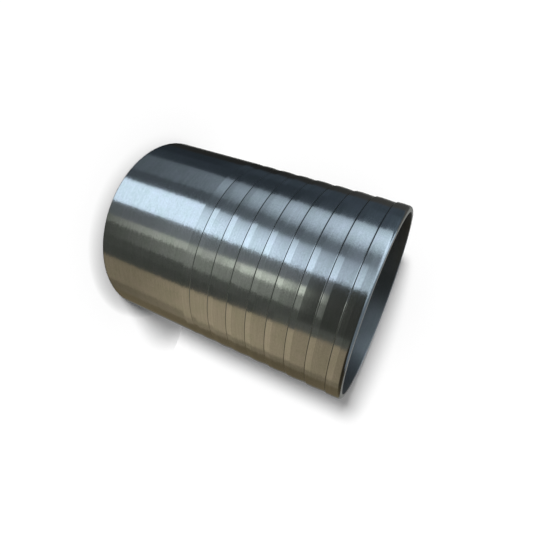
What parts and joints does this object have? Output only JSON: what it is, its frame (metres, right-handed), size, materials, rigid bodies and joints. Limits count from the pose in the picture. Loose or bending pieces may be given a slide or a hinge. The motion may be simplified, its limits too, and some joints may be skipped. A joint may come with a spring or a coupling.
{
  "type": "hose barb fitting",
  "caption": "Straight weld-on hose shank turned from thin-walled steel tube: a plain end to weld to a pipe and a barbed end that a hose is pushed over and clamped to.",
  "frame": {"origin": "centre of the plain weld end's face", "axes": "+Z along the tube's axis, from the weld end to the hose mouth; the tube is the same all round, so X and Y are free"},
  "size_m": [0.1016, 0.1016, 0.134],
  "materials": {
    "turned_steel": "fine-turned and polished stainless steel, half bright, with fine marks running round the tube"
  },
  "bodies": {
    "root": {"barbed_tube": "turned_steel"}
  },
  "joints": []
}
